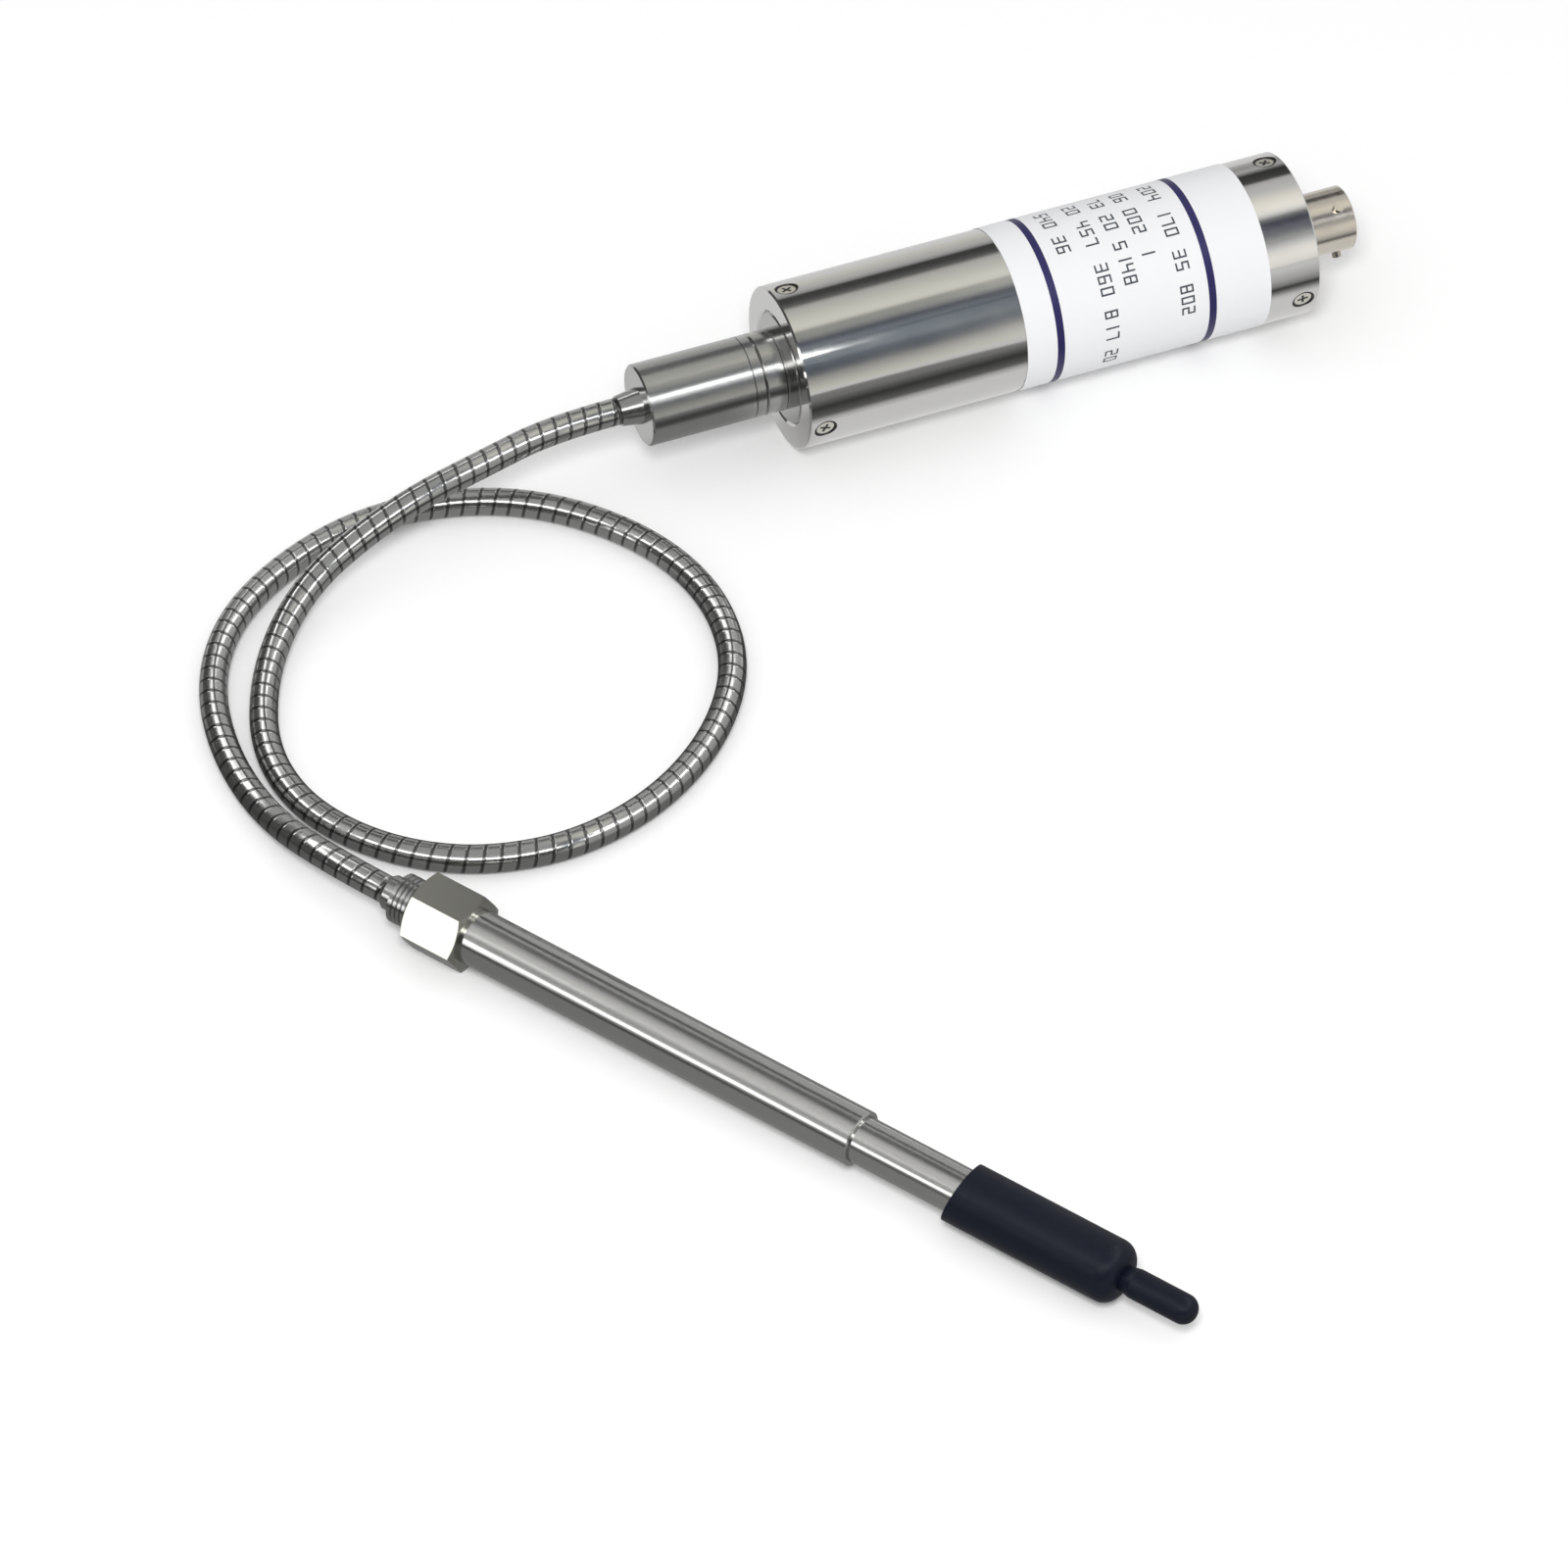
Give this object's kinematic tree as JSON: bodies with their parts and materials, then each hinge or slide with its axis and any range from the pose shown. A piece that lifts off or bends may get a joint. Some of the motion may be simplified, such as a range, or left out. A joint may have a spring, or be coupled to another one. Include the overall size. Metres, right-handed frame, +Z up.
{
  "type": "melt pressure transmitter",
  "caption": "Remote-mounted pressure transmitter: round electronics housing with a bayonet connector, flexible metal conduit in one loop, and a rigid stem with a capped threaded tip.",
  "frame": {"origin": "on the axis of the round housing, at the middle of its bare stretch between the neck and the label", "axes": "+X runs along the housing axis towards the connector, +Z is up from the surface that the transmitter lies on, and the stem lies on the -Y side"},
  "size_m": [0.296, 0.3081, 0.0384],
  "materials": {
    "polished_steel": "polished stainless steel, close to mirror, warm tint",
    "turned_steel": "fine turned stainless steel",
    "stem_steel": "ground stainless steel with fine lengthwise streaks",
    "nut_steel": "milled stainless steel",
    "conduit_steel": "strip-wound stainless armour",
    "screw_steel": "bright steel",
    "nickel": "electroless nickel",
    "label_white": "white film label, satin",
    "cap_vinyl": "black soft vinyl, slightly glossy",
    "seal_rubber": "black fluorocarbon rubber",
    "insert_plastic": "black moulded insulator",
    "gold_contact": "gold plated",
    "carrier_plastic": "natural nylon",
    "board_green": "green solder resist",
    "chip_black": "moulded epoxy",
    "trimmer_blue": "blue moulded body",
    "can_aluminium": "drawn can"
  },
  "bodies": {
    "transmitter": {"amplifier_chips": "chip_black", "circuit_board": "board_green", "connector_end_plate": "turned_steel", "connector_end_screws": "screw_steel", "connector_end_seal": "seal_rubber", "connector_gasket": "seal_rubber", "connector_shell": "nickel", "contact_insert": "insert_plastic", "contact_pins": "gold_contact", "filled_capillary": "turned_steel", "filter_capacitor": "can_aluminium", "flexible_conduit": "conduit_steel", "front_board_carrier": "carrier_plastic", "hex_nut": "nut_steel", "housing_tube": "polished_steel", "label_wrap": "label_white", "lower_ferrule": "turned_steel", "neck_end_screws": "screw_steel", "neck_end_seal": "seal_rubber", "neck_hub": "turned_steel", "neck_tube": "turned_steel", "process_diaphragm": "stem_steel", "rear_board_carrier": "carrier_plastic", "ribbed_collar": "turned_steel", "sensing_capsule": "turned_steel", "stem_core": "stem_steel", "stem_sheath": "stem_steel", "upper_ferrule": "turned_steel", "zero_and_span_trimmers": "trimmer_blue"},
    "cap": {"protective_cap": "cap_vinyl"}
  },
  "joints": [
    {"name": "cap_pull", "type": "slide", "parent": "transmitter", "child": "cap", "axis": [0.5391, -0.8423, 0], "range_m": [0, 0.05]}
  ]
}
